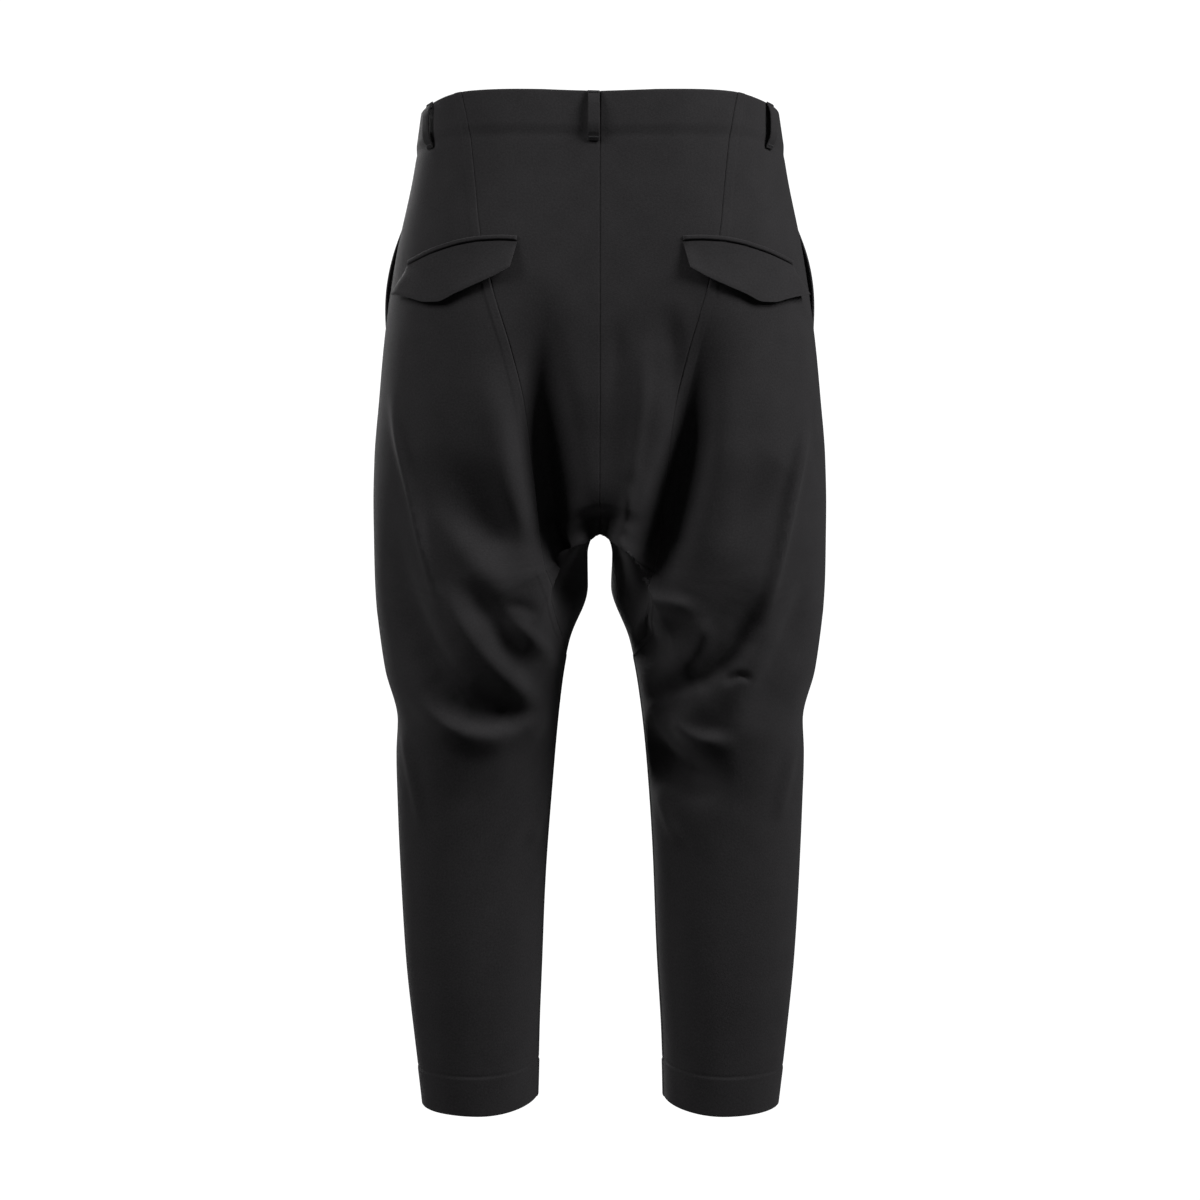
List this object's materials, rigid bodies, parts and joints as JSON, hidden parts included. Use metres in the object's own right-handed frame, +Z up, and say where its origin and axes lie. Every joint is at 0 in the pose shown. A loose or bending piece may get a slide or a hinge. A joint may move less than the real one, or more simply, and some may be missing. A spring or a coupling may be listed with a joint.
{
  "type": "harem pants",
  "caption": "Hollow cropped trousers with a low crotch and narrow legs, a faced waist with belt loops, slanted side pockets and pointed back pocket flaps.",
  "frame": {"origin": "middle of the waist opening, level with the waist edge at the sides", "axes": "+Z up, +Y the wearer's forward, +X the wearer's right"},
  "size_m": [0.4145, 0.2726, 0.9175],
  "materials": {
    "wool": "fine wool twill with a soft matt nap",
    "horn": "satin"
  },
  "bodies": {
    "root": {"back_centre_left": "wool", "back_side_left": "wool", "front_left": "wool", "pocket_facing_left": "wool", "back_welt_left": "wool", "back_flap_left": "wool", "back_centre_right": "wool", "back_side_right": "wool", "front_right": "wool", "pocket_facing_right": "wool", "back_welt_right": "wool", "back_flap_right": "wool", "belt_loop_back": "wool", "belt_loop_side_left": "wool", "belt_loop_side_right": "wool", "belt_loop_front_left": "wool", "belt_loop_front_right": "wool", "fly_shield": "wool", "waist_button": "horn"}
  },
  "joints": []
}
